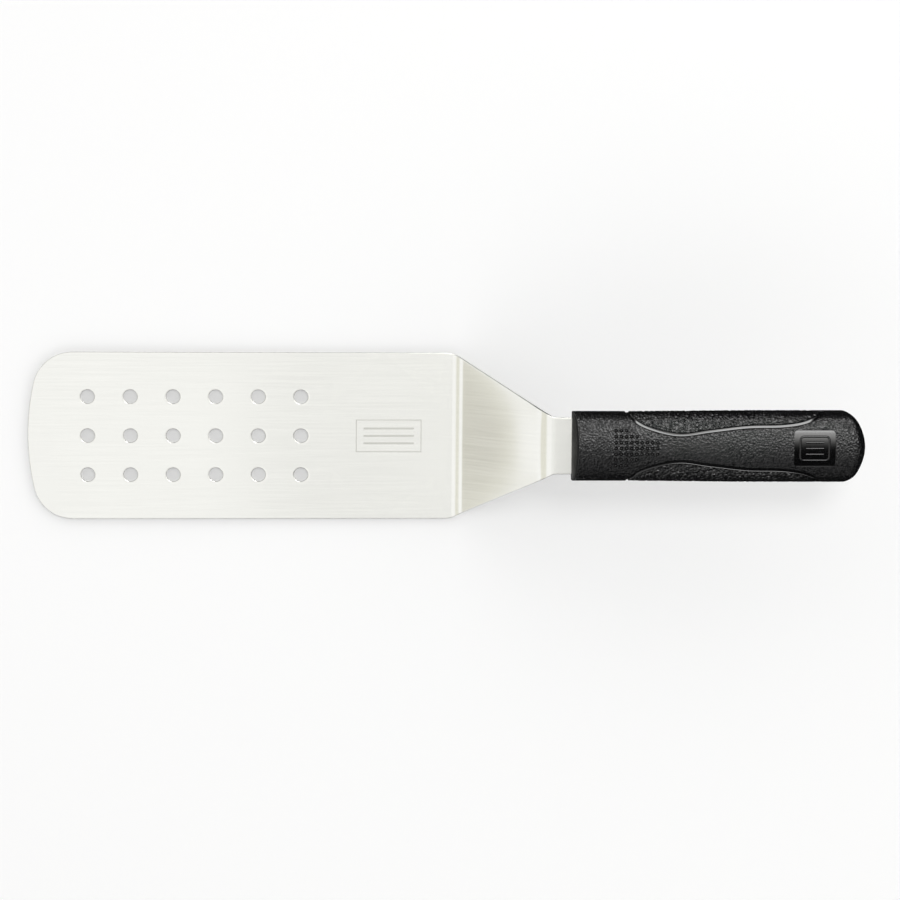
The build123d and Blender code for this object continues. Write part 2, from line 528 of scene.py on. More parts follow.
    def flat_blade(self, bm: BMesh) -> None:
        """Fills the perforated flat of the blade between its outline and its holes.

        Args:
            bm: The mesh being built.
        """
        reach = self.tip_radius - self.corner_radius
        corner_y = self.half_width - self.corner_radius
        corner_x = self.tip_x + self.tip_radius - sqrt(reach**2 - corner_y**2)
        swing = asin(corner_y / reach)
        side = Vector((corner_x - self.shoulder_x, 0, 0))
        end = bmesh.ops.create_vert(bm, co=(self.shoulder_x, self.half_width, 0))["vert"]
        end = run_straight(bm, end, side, self.side_steps)
        arcs = (
            ((corner_x, corner_y, 0), pi / 2 - swing, self.corner_steps),
            ((self.tip_x + self.tip_radius, 0, 0), 2 * swing, self.tip_steps),
            ((corner_x, -corner_y, 0), pi / 2 - swing, self.corner_steps),
        )
        for centre, angle, steps in arcs:
            end = run_round(bm, end, Vector(centre), Z_AXIS, angle, steps)
        run_straight(bm, end, -side, self.side_steps)
        centres = []
        for column in range(self.hole_columns):
            for row in range(self.hole_rows):
                x = self.tip_x + self.first_hole + column * self.hole_pitch_x
                y = (row - (self.hole_rows - 1) / 2) * self.hole_pitch_y
                centres.append(Vector((x, y, 0)))
        self.fill(bm, lambda place: place.x < self.shoulder_x + self.weld, centres, self.hole_radius)

    def tang(self, bm: BMesh) -> None:
        """Adds the narrow tang that the handle is moulded round.

        Args:
            bm: The mesh being built.
        """
        last = [v for v in bm.verts if v.co.x > self.tang_x - self.weld]
        last.sort(key=lambda v: v.co.y)
        spare = (self.columns - self.tang_columns) // 2
        last[spare].co.y, last[-1 - spare].co.y = -self.tang_half, self.tang_half
        length = self.tang_end - self.tang_end_radius - self.tang_x
        end_y = self.tang_half - self.tang_end_radius
        centre = Vector((self.tang_x + length, end_y, self.crank_rise))
        end = bmesh.ops.create_vert(bm, co=(self.tang_x, -self.tang_half, self.crank_rise))["vert"]
        along, across = Vector((length, 0, 0)), Vector((0, 2 * end_y, 0))
        end = run_straight(bm, end, along, self.tang_steps)
        end = run_round(bm, end, centre - across, Z_AXIS, pi / 2, self.tang_corner_steps)
        end = run_straight(bm, end, across, 1)
        end = run_round(bm, end, centre, Z_AXIS, pi / 2, self.tang_corner_steps)
        run_straight(bm, end, -along, self.tang_steps)
        centres = [Vector((self.handle_x + place, 0, self.crank_rise)) for place in self.lock_hole_places]
        start, half = self.tang_x - self.weld, self.tang_half + self.weld
        self.fill(bm, lambda place: place.x > start and abs(place.y) < half, centres, self.lock_hole_radius)

    def ring(self, bm: BMesh, centre: Vector, radius: float) -> list[BMVert]:
        """Draws a ring round the middle of a hole, and returns its vertices."""
        place = Matrix.Translation(centre)
        return bmesh.ops.create_circle(bm, segments=self.hole_steps, radius=radius, matrix=place)["verts"]

    def fill(self, bm: BMesh, inside: Callable[[Vector], bool], centres: list[Vector], radius: float) -> None:
        """Fills a flat outline round punched holes, each with an even collar of faces.

        Args:
            bm: The mesh being built.
            inside: Whether a point belongs to the outline.
            centres: The middles of the holes.
            radius: The radius of the holes.
        """
        outer = radius + self.collar
        for centre in centres:
            self.ring(bm, centre, outer)
        bmesh.ops.remove_doubles(bm, verts=bm.verts, dist=self.weld)
        edges = [edge for edge in bm.edges if all(inside(vert.co) for vert in edge.verts)]
        bmesh.ops.triangle_fill(bm, use_beauty=True, use_dissolve=False, edges=edges, normal=(0, 0, 1))
        for centre in centres:
            edges = {edge: None for vert in self.ring(bm, centre, outer) for edge in vert.link_edges}
            rim = verts_of(bmesh.ops.extrude_edge_only(bm, edges=list(edges))["geom"])
            shrink = Vector((radius / outer, radius / outer, 1))
            bmesh.ops.scale(bm, verts=rim, vec=shrink, space=Matrix.Translation(-centre))
        bmesh.ops.remove_doubles(bm, verts=bm.verts, dist=self.weld)

    def build(self) -> Object:
        """Builds and dresses the stamping.

        Returns:
            The finished piece.
        """
        bm = bmesh.new()
        self.strip(bm)
        self.flat_blade(bm)
        self.tang(bm)
        bmesh.ops.recalc_face_normals(bm, faces=bm.faces)
        bm.faces.ensure_lookup_table()
        if bm.faces[0].normal.z < 0:
            bmesh.ops.reverse_faces(bm, faces=bm.faces)
        brushing = bm.loops.layers.uv.new("brushing")
        for face in bm.faces:
            for loop in face.loops:
                loop[brushing].uv = loop.vert.co.xy
        piece = finished_object("perforated_blade", bm, self.steel, self.sheared)
        wall = piece.modifiers.new("sheet", "SOLIDIFY")
        wall.thickness = self.sheet
        wall.offset = 1.0
        wall.use_even_offset = True
        wall.material_offset_rim = 1
        rim = piece.modifiers.new("rims", "BEVEL")
        rim.width = self.rim
        rim.segments = self.rim_steps
        rim.limit_method = "ANGLE"
        rim.angle_limit = radians(self.rim_angle)
        rim.use_clamp_overlap = False
        shading = piece.modifiers.new("shading", "WEIGHTED_NORMAL")
        shading.keep_sharp = True
        declare(piece, "blade")
        return piece


# --- Handle ----------------------------------------------------------------


class Side(Enum):
    """The side of the handle that a grip panel is let into."""

    LEFT = 1
    RIGHT = -1


class Cut(Enum):
    """What a tool does to a body."""

    REMOVE = "DIFFERENCE"
    KEEP = "INTERSECT"
    ADD = "UNION"


def smooth_step(value: float, low: float, high: float) -> float:
    """A value from 0 to 1 that eases from low to high."""
    share = min(max((value - low) / (high - low), 0.0), 1.0)
    return share * share * (3 - 2 * share)


def smooth_curve(points: Sequence[Vector], steps: int) -> list[Vector]:
    """A smooth curve through some points.

    Args:
        points: The points that it passes through.
        steps: How many steps it takes from each point to the next.

    Returns:
        The points along the curve.
    """
    padded = [points[0], *points, points[-1]]
    curve = []
    for before, start, end, after in zip(padded, padded[1:], padded[2:], padded[3:]):
        for step in range(steps):
            t = step / steps
            bend = (2 * before - 5 * start + 4 * end - after) * t * t
            twist = (3 * start - before - 3 * end + after) * t * t * t
            curve.append(0.5 * (2 * start + (end - before) * t + bend + twist))
    return curve + [points[-1].copy()]


def ring_edges(bm: BMesh, ring: Sequence[BMVert]) -> list[BMEdge]:
    """The edges that join a ring of vertices."""
    return [bm.edges.get((ring[i - 1], ring[i])) for i in range(len(ring))]


def loft(bm: BMesh, rings: Sequence[Sequence[Vector]], closed: bool = False) -> None:
    """Carries a ring of points from place to place, and closes both ends.

    Args:
        bm: The mesh being built.
        rings: Where the ring's points lie at each place.
        closed: Whether the last ring runs on into the first.
    """
    ring = bmesh.ops.create_circle(bm, segments=len(rings[0]), radius=1.0)["verts"]
    start = edges = ring_edges(bm, ring)
    for vert, place in zip(ring, rings[0]):
        vert.co = place
    for places in rings[1:]:
        made = bmesh.ops.extrude_edge_only(bm, edges=edges)["geom"]
        fresh = set(verts_of(made))
        ring = [next(v for e in vert.link_edges if (v := e.other_vert(vert)) in fresh) for vert in ring]
        for vert, place in zip(ring, places):
            vert.co = place
        edges = ring_edges(bm, ring)
    if closed:
        bmesh.ops.bridge_loops(bm, edges=start + edges)
    else:
        bmesh.ops.holes_fill(bm, edges=start + edges, sides=0)
    bmesh.ops.recalc_face_normals(bm, faces=bm.faces)


def lofted(name: str, rings: Sequence[Sequence[Vector]], material: Material, closed: bool = False) -> Object:
    """An object whose skin runs through rings of points."""
    bm = bmesh.new()
    loft(bm, rings, closed)
    return finished_object(name, bm, material)


def round_bar(bm: BMesh, place: Matrix, radius: float, depth: float, steps: int) -> None:
    """Adds a short round bar, which lies along its own z."""
    bmesh.ops.create_cone(bm, cap_ends=True, segments=steps, radius1=radius, radius2=radius, depth=depth,
                          matrix=place)


def carve(body: Object, tool: Object, cut: Cut) -> None:
    """Cuts a body with a tool, which stays as it is.

    Args:
        body: The object whose mesh is changed.
        tool: The object that it is cut with.
        cut: What the tool does.
    """
    step = body.modifiers.new("cut", "BOOLEAN")
    step.operation = cut.value
    step.solver = "MANIFOLD"
    step.material_mode = "TRANSFER"
    step.object = tool
    apply_modifiers(body)


def apply_modifiers(piece: Object) -> None:
    """Replaces a piece's mesh by what its modifiers make of it."""
    evaluated = piece.evaluated_get(bpy.context.evaluated_depsgraph_get())
    mesh = bpy.data.meshes.new_from_object(evaluated)
    piece.modifiers.clear()
    old = piece.data
    piece.data = mesh
    bpy.data.meshes.remove(old)


def discard(*tools: Object) -> None:
    """Deletes tools that have done their work."""
    for tool in tools:
        bpy.data.meshes.remove(tool.data)


@dataclass
class HandleForm:
    """The outside of the handle, and the tools that divide it. Its own x starts at its front."""

    front_x: float
    axis_z: float
    length: float = 131.3 * MM
    front_width: float = 31.1 * MM
    rear_width: float = 32.1 * MM
    front_height: float = 19.0 * MM
    rear_height: float = 20.0 * MM
    widening_start: float = 25.0 * MM
    widening_end: float = 81.0 * MM
    crown: float = 3.0 * MM
    side_bulge: float = 1.2 * MM
    edge_radius: float = 5.2 * MM
    nose_recess: float = 2.1 * MM
    nose_edge: float = 0.5 * MM
    butt_radius: float = 20.6 * MM
    butt_edge: float = 5.0 * MM
    butt_corner: float = 2.4 * MM
    butt_ease: tuple = (6.0 * MM, 15.5 * MM)
    least_edge: float = 0.4 * MM
    overrun: float = 30.0 * MM
    crown_steps: int = 24
    edge_steps: int = 9
    side_steps: int = 7
    nose_steps: int = 4
    length_steps: int = 126
    butt_steps: int = 8
    cap_steps: int = 10
    prism_steps: int = 64

    def size_at(self, x: float) -> tuple[float, float]:
        """Half the handle's width and half its height at x."""
        share = min(max((x - self.widening_start) / (self.widening_end - self.widening_start), 0), 1)
        width = self.front_width + (self.rear_width - self.front_width) * share
        height = self.front_height + (self.rear_height - self.front_height) * share
        return width / 2, height / 2

    def quarter(self, x: float, inset: float = 0.0) -> list[tuple[Vector, Vector]]:
        """A quarter of the section, from the top middle to the side middle.

        Args:
            x: The distance from the front of the handle.
            inset: How far the section is drawn in.

        Returns:
            Pairs of a point and the outward direction there, as y and z.
        """
        half_width, half_height = (half - inset for half in self.size_at(x))
        side, shoulder = half_width - self.side_bulge, half_height - self.crown
        top_radius = (side**2 + self.crown**2) / (2 * self.crown)
        side_radius = (shoulder**2 + self.side_bulge**2) / (2 * self.side_bulge)
        radius = max(self.edge_radius - inset, self.least_edge)
        top = Vector((0, half_height - top_radius))
        flank = Vector((half_width - side_radius, 0))
        reach_top, reach_flank = top_radius - radius, side_radius - radius
        apart = (flank - top).length
        along = (reach_top**2 - reach_flank**2 + apart**2) / (2 * apart)
        line = (flank - top) / apart
        across = Vector((line.y, -line.x))
        edge = top + line * along + across * sqrt(reach_top**2 - along**2)
        first, second = (edge - top).normalized(), (edge - flank).normalized()
        top_end, side_start = atan2(first.y, first.x), atan2(second.y, second.x)
        arcs = (
            (top, top_radius, pi / 2, top_end, self.crown_steps),
            (edge, radius, top_end, side_start, self.edge_steps),
            (flank, side_radius, side_start, 0.0, self.side_steps),
        )
        points = []
        for centre, size, start, end, steps in arcs:
            for step in range(steps):
                angle = start + (end - start) * step / steps
                facing = Vector((cos(angle), sin(angle)))
                points.append((centre + facing * size, facing))
        points.append((Vector((half_width, 0)), Vector((1, 0))))
        return points

    def section(self, x: float, inset: float = 0.0) -> list[tuple[Vector, Vector]]:
        """The whole section, from the top middle down the left side and round.

        Args:
            x: The distance from the front of the handle.
            inset: How far the section is drawn in.

        Returns:
            Pairs of a point and the outward direction there, as y and z.
        """
        quarter = self.quarter(x, inset)
        whole = []
        for part, (y_sign, z_sign) in ((quarter[:-1], (1, 1)), (quarter[:0:-1], (1, -1)),
                                       (quarter[:-1], (-1, -1)), (quarter[:0:-1], (-1, 1))):
            turn = Vector((y_sign, z_sign))
            whole += [(place * turn, facing * turn) for place, facing in part]
        return whole

    def at(self, x: float, y: float, z: float) -> Vector:
        """A place in the spatula's frame, from one in the handle's own."""
        return Vector((self.front_x + x, y, self.axis_z + z))

    def nose_at(self, z: float) -> float:
        """How far the nose falls back at a height."""
        half = self.front_height / 2
        radius = (half**2 + self.nose_recess**2) / (2 * self.nose_recess)
        return radius - sqrt(radius**2 - z**2)

    def butt_at(self, y: float) -> float:
        """Where the butt lies at a distance from the middle line."""
        return self.length - self.butt_radius + sqrt(self.butt_radius**2 - y**2)

    def butt_edge_at(self, y: float) -> float:
        """How large the rounding of the butt's edge is at a distance from the middle line."""
        ease = smooth_step(abs(y), *self.butt_ease)
        return self.butt_edge + (self.butt_corner - self.butt_edge) * ease

    def station(self, x: float, turn: float) -> tuple[Vector, Vector]:
        """A point of the surface and its outward direction.

        Args:
            x: The distance from the front of the handle.
            turn: How far round the section the point is, in steps.

        Returns:
            The point and the direction.
        """
        section = self.section(x)
        index = int(turn)
        share = turn - index
        (place, facing), (next_place, next_facing) = section[index], section[index + 1]
        spot, normal = place.lerp(next_place, share), facing.lerp(next_facing, share)
        return self.at(x, *spot), Vector((0, *normal)).normalized()

    def turn_at(self, x: float, y: float) -> float:
        """How far round the section the top surface reaches y, in steps."""
        quarter = self.quarter(x)
        for index in range(len(quarter) - 1):
            near, far = quarter[index][0].x, quarter[index + 1][0].x
            if y < far:
                return index + (y - near) / (far - near)
        return float(len(quarter) - 1)

    def top_at(self, x: float, y: float) -> Vector:
        """The point of the top surface over x and y."""
        return self.station(x, self.turn_at(x, abs(y)))[0]

    def prism(self, name: str, inset: float, material: Material) -> Object:
        """The section carried past both ends of the handle.

        Args:
            name: The tool's name.
            inset: How far the section is drawn in.
            material: The finish that its cut leaves.

        Returns:
            The tool.
        """
        stations = [self.length * step / self.prism_steps for step in range(self.prism_steps + 1)]
        stations = [-self.overrun, *stations, self.length + self.overrun]
        rings = [[self.at(x, *place) for place, _ in self.section(x, inset)] for x in stations]
        return lofted(name, rings, material)

    def envelope(self, slot: "TangSlot", material: Material) -> Object:
        """The whole outside of the handle, with the slot that the tang lies in.

        Args:
            slot: The slot's sizes.
            material: The finish of its surfaces.

        Returns:
            The body.
        """
        front, rear = self.section(0.0), self.section(self.length)
        rings = slot.rings(self, [place - facing * self.nose_edge for place, facing in front])
        for step in range(1, self.nose_steps + 1):
            turn = pi / 2 * (1 - step / self.nose_steps)
            drop = self.nose_edge * (1 - sin(turn))
            spots = [place - facing * self.nose_edge * (1 - cos(turn)) for place, facing in front]
            rings.append([self.at(self.nose_at(spot.y) + drop, *spot) for spot in spots])
        for step in range(1, self.length_steps):
            share = step / self.length_steps
            section = self.section(self.nose_edge + (self.length - self.butt_edge) * share)
            ring = []
            for place, _ in section:
                start = self.nose_at(place.y) + self.nose_edge
                end = self.butt_at(place.x) - self.butt_edge_at(place.x)
                ring.append(self.at(start + (end - start) * share, *place))
            rings.append(ring)
        for step in range(self.butt_steps + 1):
            turn = pi / 2 * step / self.butt_steps
            ring, butt = [], []
            for place, facing in rear:
                edge = self.butt_edge_at(place.x)
                spot = place - facing * edge * (1 - cos(turn))
                ring.append(self.at(self.butt_at(spot.x) - edge * (1 - sin(turn)), *spot))
                butt.append(spot)
            rings.append(ring)
        for step in range(1, self.cap_steps):
            share = 1 - step / self.cap_steps
            rings.append([self.at(self.butt_at(spot.x * share), *(spot * share)) for spot in butt])
        return lofted("handle_envelope", rings, material)


@dataclass
class TangSlot:
    """The slot that the plastic leaves round the neck and the tang."""

    neck_half: float = 12.78 * MM
    tang_half: float = 8.53 * MM
    sheet_half: float = 0.78 * MM
    neck_depth: float = 6.0 * MM
    tang_depth: float = 112.0 * MM
    side_share: float = 0.25
    steps: int = 8

    def rings(self, form: HandleForm, mouth: Sequence[Vector]) -> list[list[Vector]]:
        """The slot's rings from its bottom out to the edge of the nose.

        Args:
            form: The handle's form.
            mouth: The edge of the nose's flat, as y and z.

        Returns:
            The rings.
        """
        widest = max(spot.x for spot in mouth)
        tallest = max(spot.y for spot in mouth)
        lips = []
        for spot in mouth:
            rise = min(max(spot.y / tallest / self.side_share, -1), 1)
            lips.append(Vector((spot.x / widest * self.neck_half, rise * self.sheet_half)))
        narrow = Vector((self.tang_half / self.neck_half, 1))
        rings = [[form.at(self.tang_depth, *(lip * narrow)) for lip in lips]]
        rings.append([form.at(self.neck_depth, *(lip * narrow)) for lip in lips])
        rings.append([form.at(self.neck_depth, *lip) for lip in lips])
        for step in range(self.steps + 1):
            places = [lip.lerp(spot, step / self.steps) for lip, spot in zip(lips, mouth)]
            rings.append([form.at(form.nose_at(place.y), *place) for place in places])
        return rings


@dataclass
class PanelEdge:
    """The line between a grip panel and the core, and the tools that follow it.

    Its points are in millimetres, from the front of the handle and from its middle line.
    """

    form: HandleForm
    points: tuple = (
        (24.6, 16.4),
        (31.0, 10.9),
        (46.3, 6.9),
        (61.0, 8.5),
        (78.0, 10.4),
        (93.0, 10.75),
        (104.0, 12.4),
        (112.2, 16.4),
    )
    rear_tip_height: float = 3.8 * MM
    rear_slant: float = 50.0
    groove_width: float = 1.9 * MM
    groove_depth: float = 0.6 * MM
    groove_round: float = 0.5 * MM
    groove_offset: float = 0.8 * MM
    groove_margin: float = 0.25 * MM
    groove_lip: float = 0.05 * MM
    groove_flare: float = 0.12 * MM
    groove_over: float = 0.3 * MM
    groove_step: float = 0.7 * MM
    round_steps: int = 5
    curve_steps: int = 12
    rear_steps: int = 40
    front_steps: int = 16
    smoothing: int = 8
    depth: float = 2.2 * MM
    lug_radius: float = 3.0 * MM
    lug_length: float = 2.5 * MM
    lug_places: tuple = (43.0 * MM, 68.0 * MM, 93.0 * MM)
    lug_steps: int = 32
    reach: float = 30.0 * MM

    def curve(self, grow: float = 0.0) -> list[Vector]:
        """The edge as seen from above, as x and y.

        Args:
            grow: How far it is moved towards the middle of the handle.

        Returns:
            The points along it.
        """
        curve = smooth_curve([Vector(point) * MM for point in self.points], self.curve_steps)
        moved = []
        for index, place in enumerate(curve):
            heading = curve[min(index + 1, len(curve) - 1)] - curve[max(index - 1, 0)]
            heading.normalize()
            moved.append(place + Vector((heading.y, -heading.x)) * grow)
        return moved

    def slant(self, grow: float = 0.0) -> tuple[Vector, Vector]:
        """A point and the outward direction of the panel's slanted rear edge."""
        turn = radians(self.rear_slant)
        outward = Vector((sin(turn), 0, -cos(turn)))
        tip = self.form.at(self.points[-1][0] * MM, 0, self.rear_tip_height)
        return tip + outward * grow, outward

    def pocket(self, side: Side, material: Material) -> Object:
        """The space that a grip panel takes up, with the holes for its lugs.

        Args:
            side: The side of the handle.
            material: The finish that its cut leaves.

        Returns:
            The tool.
        """
        form = self.form
        bm = bmesh.new()
        line = [form.at(place.x, place.y, -self.reach) for place in self.curve()]
        line += [line[-1] + Vector((0, self.reach, 0)), line[0] + Vector((0, self.reach, 0))]
        ring = bmesh.ops.create_circle(bm, cap_ends=True, segments=len(line), radius=1.0)["verts"]
        for vert, place in zip(ring, line):
            vert.co = place
        tall = bmesh.ops.extrude_face_region(bm, geom=bm.faces[:])["geom"]
        bmesh.ops.translate(bm, verts=verts_of(tall), vec=(0, 0, 2 * self.reach))
        place, outward = self.slant()
        whole = bm.verts[:] + bm.edges[:] + bm.faces[:]
        cut = bmesh.ops.bisect_plane(bm, geom=whole, plane_co=place, plane_no=outward, clear_outer=True)
        bmesh.ops.holes_fill(bm, edges=edges_of(cut["geom_cut"]), sides=0)
        bmesh.ops.recalc_face_normals(bm, faces=bm.faces)
        tool = finished_object("panel_pocket", bm, material)
        floor = form.prism("pocket_floor", self.depth, material)
        lugs = self.lugs(material)
        carve(tool, floor, Cut.REMOVE)
        carve(tool, lugs, Cut.ADD)
        discard(floor, lugs)
        return self.placed(tool, side)

    def lugs(self, material: Material) -> Object:
        """The round lugs on the back of a panel, which hold it in its pocket.

        Args:
            material: The finish of the lugs.

        Returns:
            The tool.
        """
        bm = bmesh.new()
        lug_end = self.form.front_width / 2 - self.depth - self.lug_length
        depth = self.lug_length + self.depth / 2
        for place in self.lug_places:
            middle = Matrix.Translation(self.form.at(place, lug_end + depth / 2, 0))
            round_bar(bm, middle @ Matrix.Rotation(pi / 2, 4, "X"), self.lug_radius, depth, self.lug_steps)
        return finished_object("panel_lugs", bm, material)

    def placed(self, tool: Object, side: Side) -> Object:
        """Mirrors a tool made for the left side to the side where it is used."""
        if side is Side.RIGHT:
            bm = bmesh.new()
            bm.from_mesh(tool.data)
            bmesh.ops.scale(bm, vec=(1, -1, 1), verts=bm.verts)
            bmesh.ops.reverse_faces(bm, faces=bm.faces)
            bm.to_mesh(tool.data)
            bm.free()
        return tool

    def groove_line(self) -> list[tuple[float, float]]:
        """The middle of the groove round the left panel, as x and steps round the section."""
        form = self.form
        quarter_steps = len(form.quarter(0.0)) - 1
        top = []
        for place in self.curve(self.groove_offset):
            if place.y < form.size_at(place.x)[0] - self.groove_margin:
                top.append(Vector((place.x, form.turn_at(place.x, place.y))))
        front, rear = top[0], top[-1]
        tip, outward = self.slant(self.groove_offset)
        tip.x -= form.front_x
        tip.z -= form.axis_z

        def slanted_x(turn: float) -> float:
            height = form.station(self.points[-1][0] * MM, turn)[0].z - form.axis_z
            return tip.x - (height - tip.z) * outward.z / outward.x

        bottom = []
        for place in reversed(top):
            turn = 2 * quarter_steps - place.y
            if place.x < slanted_x(turn):
                bottom.append(Vector((place.x, turn)))
        rear_side, front_side = [], []
        for step in range(1, self.rear_steps):
            turn = rear.y + (bottom[0].y - rear.y) * step / self.rear_steps
            rear_side.append(Vector((min(rear.x, slanted_x(turn)), turn)))
        for step in range(1, self.front_steps):
            turn = bottom[-1].y + (front.y - bottom[-1].y) * step / self.front_steps
            front_side.append(Vector((front.x, turn)))
        loop = self.evenly(top + rear_side + bottom + front_side)
        for _ in range(self.smoothing):
            count = len(loop)
            loop = [(loop[i - 1] + 2 * loop[i] + loop[(i + 1) % count]) / 4 for i in range(count)]
        return [(place.x, place.y) for place in loop]

    def evenly(self, loop: list[Vector]) -> list[Vector]:
        """Spaces the stations of a closed line evenly over the surface.

        Args:
            loop: The stations, as x and steps round the section.

        Returns:
            The evenly spaced stations.
        """
        loop = loop + loop[:1]
        places = [self.form.station(*spot)[0] for spot in loop]
        spans = [(far - near).length for near, far in zip(places, places[1:])]
        count = round(sum(spans) / self.groove_step)
        even = []
        index, passed = 0, 0.0
        for number in range(count):
            goal = sum(spans) * number / count
            while passed + spans[index] < goal:
                passed += spans[index]
                index += 1
            even.append(loop[index].lerp(loop[index + 1], (goal - passed) / spans[index]))
        return even

    def groove(self, side: Side, material: Material) -> Object:
        """The tool that cuts the rounded groove round a grip panel.

        Args:
            side: The side of the handle.
            material: The finish that its cut leaves.

        Returns:
            The tool.
        """
        half, deep, bend = self.groove_width / 2, self.groove_depth, self.groove_round
        profile = [Vector((half + self.groove_flare, self.groove_over)), Vector((half + self.groove_lip, 0))]
        for step in range(self.round_steps + 1):
            turn = pi / 2 * step / self.round_steps
            profile.append(Vector((half - bend + bend * cos(turn), bend - deep - bend * sin(turn))))
        profile += [Vector((-place.x, place.y)) for place in reversed(profile)]
        stations = [self.form.station(*spot) for spot in self.groove_line()]
        rings = []
        for index, (place, normal) in enumerate(stations):
            ahead = stations[(index + 1) % len(stations)][0]
            heading = (ahead - stations[index - 1][0]).normalized()
            across = normal.cross(heading).normalized()
            rings.append([place + across * spot.x + normal * spot.y for spot in profile])
        return self.placed(lofted("panel_groove", rings, material, closed=True), side)


@dataclass
class FingerPoints:
    """The small beads under the thumb and finger, each in a round pit of its own."""

    form: HandleForm
    bead: float = 0.45 * MM
    height: float = 0.2 * MM
    pit: float = 0.85 * MM
    pit_depth: float = 0.45 * MM
    first: float = 19.0 * MM
    pitch_x: float = 2.32 * MM
    pitch_y: float = 2.6 * MM
    rows: tuple = (3, 5, 9, 9, 9, 5, 3)
    fineness: int = 3
    pit_steps: int = 20

    def places(self) -> list[Vector]:
        """Where the beads stand on the surface, on the top and the bottom of the handle.

        Returns:
            The places, with the height over the handle's axis as z.
        """
        places = []
        for row, count in enumerate(self.rows):
            y = self.pitch_y * ((len(self.rows) - 1) / 2 - row)
            for column in range(count):
                x = self.first + self.pitch_x * column
                rise = self.form.top_at(x, y).z - self.form.axis_z
                places += [Vector((x, y, rise)), Vector((x, y, -rise))]
        return places

    def beads(self, material: Material) -> Object:
        """The beads, as balls that stand a little out of the handle.

        Args:
            material: The finish of the beads.

        Returns:
            The tool.
        """
        bm = bmesh.new()
        for place in self.places():
            sunk = place.z - (self.bead - self.height) * (1 if place.z > 0 else -1)
            centre = Matrix.Translation(self.form.at(place.x, place.y, sunk))
            bmesh.ops.create_icosphere(bm, subdivisions=self.fineness, radius=self.bead, matrix=centre)
        return finished_object("finger_beads", bm, material)

    def pits(self, material: Material) -> Object:
        """The tool that cuts the pit round each bead.

        Args:
            material: The finish of the pits.

        Returns:
            The tool.
        """
        bm = bmesh.new()
        for place in self.places():
            centre = Matrix.Translation(self.form.at(*place))
            round_bar(bm, centre, self.pit, 2 * self.pit_depth, self.pit_steps)
        return finished_object("finger_pits", bm, material)


@dataclass
class Recess:
    """The smooth shallow recess near the butt, with a plain raised frame and bars."""

    form: HandleForm
    length: float = 18.7 * MM
    width: float = 16.4 * MM
    corner: float = 1.6 * MM
    corner_steps: int = 8
    depth: float = 0.5 * MM
    place: float = 108.0 * MM
    frame_length: float = 13.0 * MM
    frame_width: float = 10.6 * MM
    bar_length: float = 8.0 * MM
    bar_gap: float = 2.6 * MM
    ridge: float = 0.5 * MM
    ridge_steps: int = 20
    rise: float = 0.35 * MM
    slab_height: float = 12.0 * MM
    slab_middle: float = 10.0 * MM

    def slab(self, material: Material) -> Object:
        """The tool that cuts the recess: a rounded slab, less the handle with its surface drawn in.

        Args:
            material: The finish that it leaves.

        Returns:
            The tool.
        """
        bm = bmesh.new()
        middle = Matrix.Translation(self.form.at(self.place, 0, self.slab_middle))
        size = Matrix.Diagonal((self.length, self.width, self.slab_height, 1))
        bmesh.ops.create_cube(bm, size=1.0, matrix=middle @ size)
        upright = [edge for edge in bm.edges if edge.verts[0].co.xy == edge.verts[1].co.xy]
        bmesh.ops.bevel(bm, geom=upright, offset=self.corner, offset_type="OFFSET",
                        affect="EDGES", segments=self.corner_steps, profile=0.5, material=-1)
        slab = finished_object("recess_slab", bm, material)
        surface = self.form.prism("recess_surface", self.depth, material)
        carve(slab, surface, Cut.REMOVE)
        discard(surface)
        return slab

    def frame_path(self) -> list[tuple[float, float]]:
        """The line of the frame, with rounded corners.

        Returns:
            The line's points, in the handle's own x and y.
        """
        half_x, half_y = self.frame_length / 2 - self.corner, self.frame_width / 2 - self.corner
        path = []
        for turn, (x_sign, y_sign) in enumerate(((1, 1), (-1, 1), (-1, -1), (1, -1))):
            x, y = self.place + x_sign * half_x, y_sign * half_y
            for step in range(self.corner_steps + 1):
                angle = pi / 2 * (turn + step / self.corner_steps)
                path.append((x + self.corner * cos(angle), y + self.corner * sin(angle)))
        return path

    def raise_line(self, bm: BMesh, path: Sequence[tuple[float, float]], closed: bool) -> None:
        """Adds a round ridge that follows a line over the floor of the recess.

        Args:
            bm: The mesh being built.
            path: The line's points, in the handle's own x and y.
            closed: Whether the line comes back to its start.
        """
        sunk = self.depth - self.rise + self.ridge
        spots = [Vector((self.form.front_x + x, y, self.form.top_at(x, y).z - sunk)) for x, y in path]
        angles = [2 * pi * step / self.ridge_steps for step in range(self.ridge_steps)]
        rings = []
        for index, spot in enumerate(spots):
            after = spots[(index + 1) % len(spots)] if closed else spots[min(index + 1, len(spots) - 1)]
            before = spots[index - 1] if closed else spots[max(index - 1, 0)]
            across = (after - before).cross(Z_AXIS).normalized() * self.ridge
            up = Z_AXIS * self.ridge
            rings.append([spot + across * cos(angle) + up * sin(angle) for angle in angles])
        loft(bm, rings, closed)

    def cut_into(self, body: Object, material: Material) -> None:
        """Cuts the recess and raises its frame and bars.

        Args:
            body: The handle.
            material: The finish of the recess.
        """
        bm = bmesh.new()
        self.raise_line(bm, self.frame_path(), True)
        for side in (1, 0, -1):
            ends = (self.place - self.bar_length / 2, self.place + self.bar_length / 2)
            self.raise_line(bm, [(x, side * self.bar_gap) for x in ends], False)
        lines = finished_object("recess_lines", bm, material)
        slab = self.slab(material)
        carve(body, slab, Cut.REMOVE)
        carve(body, lines, Cut.ADD)
        discard(slab, lines)


